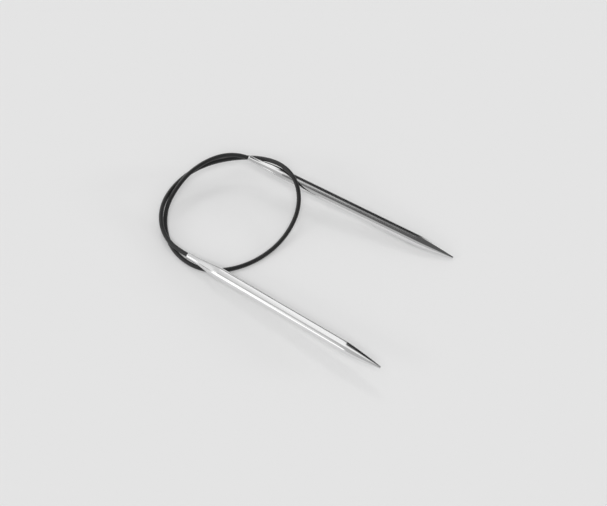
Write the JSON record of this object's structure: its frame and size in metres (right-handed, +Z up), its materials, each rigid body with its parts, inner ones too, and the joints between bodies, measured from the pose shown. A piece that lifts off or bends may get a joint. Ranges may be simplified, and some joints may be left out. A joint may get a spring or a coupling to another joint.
{
  "type": "circular knitting needle",
  "caption": "Circular knitting needle: hollow polished-metal needles with drawn-down tails, joined by one springy dark cable laid in a loop, for knitting in the round.",
  "frame": {"origin": "on the table, at the middle of the two needles' bounding box (the cable left out)", "axes": "+X along the needles towards their points, +Y from the near needle to the far needle, +Z up from the table"},
  "size_m": [0.1652, 0.0926, 0.019],
  "materials": {
    "needle_metal": "polished",
    "crimp_metal": "satin",
    "cable_nylon": "satin"
  },
  "bodies": {
    "cable": {"cable": "cable_nylon", "far_cord_stop": "crimp_metal"},
    "far_needle": {"far_needle": "needle_metal"},
    "near_end": {"near_cord_stop": "crimp_metal"},
    "near_needle": {"near_needle": "needle_metal"}
  },
  "joints": [
    {"name": "far_swivel", "type": "hinge", "parent": "cable", "child": "far_needle", "pos_m": [-0.06805, 0.03135, 0.0156], "axis": [0.9886, 0.1039, -0.1087], "continuous": true},
    {"name": "cable_flex", "type": "hinge", "parent": "cable", "child": "near_end", "pos_m": [-0.06, -0.002, 0], "axis": [0, 0, 1], "range_deg": [-30, 30], "stiffness_Nm_per_rad": 0.01, "deforming": ["cable"]},
    {"name": "near_swivel", "type": "hinge", "parent": "near_end", "child": "near_needle", "pos_m": [-0.0634, -0.03745, 0.0048], "axis": [0.9971, -0.0488, 0.0584], "continuous": true}
  ]
}
